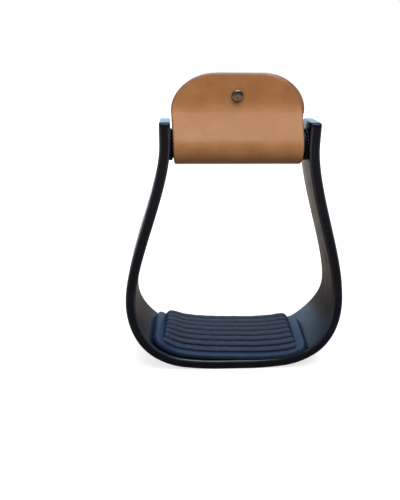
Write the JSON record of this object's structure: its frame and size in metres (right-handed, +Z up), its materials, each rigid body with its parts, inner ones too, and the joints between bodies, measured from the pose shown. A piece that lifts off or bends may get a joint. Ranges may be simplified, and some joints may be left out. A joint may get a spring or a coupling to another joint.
{
  "type": "western stirrup",
  "caption": "Bell-shaped metal riding stirrup with a leather wrap round its top bar and a ribbed rubber pad on the tread.",
  "frame": {"origin": "on the surface that the stirrup stands on, under the middle of the tread", "axes": "+Z up to the leather wrap, X from arm to arm along the top bar, -Y the face with the domed screw post"},
  "size_m": [0.1396, 0.0476, 0.1831],
  "materials": {
    "black_aluminium": "satin black coat, engraved bright on the outer faces",
    "tan_leather": "smooth tan saddle leather with a burnished edge",
    "nickelled_brass": "polished, nickel plated",
    "black_rubber": "matt blue-black moulded rubber"
  },
  "bodies": {
    "frame": {"frame": "black_aluminium", "top_bar": "black_aluminium", "weld_bead_left": "black_aluminium", "weld_bead_right": "black_aluminium", "tread_pad": "black_rubber"},
    "leather": {"leather_wrap": "tan_leather", "screw_post": "nickelled_brass", "screw": "nickelled_brass"}
  },
  "joints": [
    {"name": "leather_swing", "type": "hinge", "parent": "frame", "child": "leather", "pos_m": [0, 0, 0.1429], "axis": [1, 0, 0], "continuous": true}
  ]
}
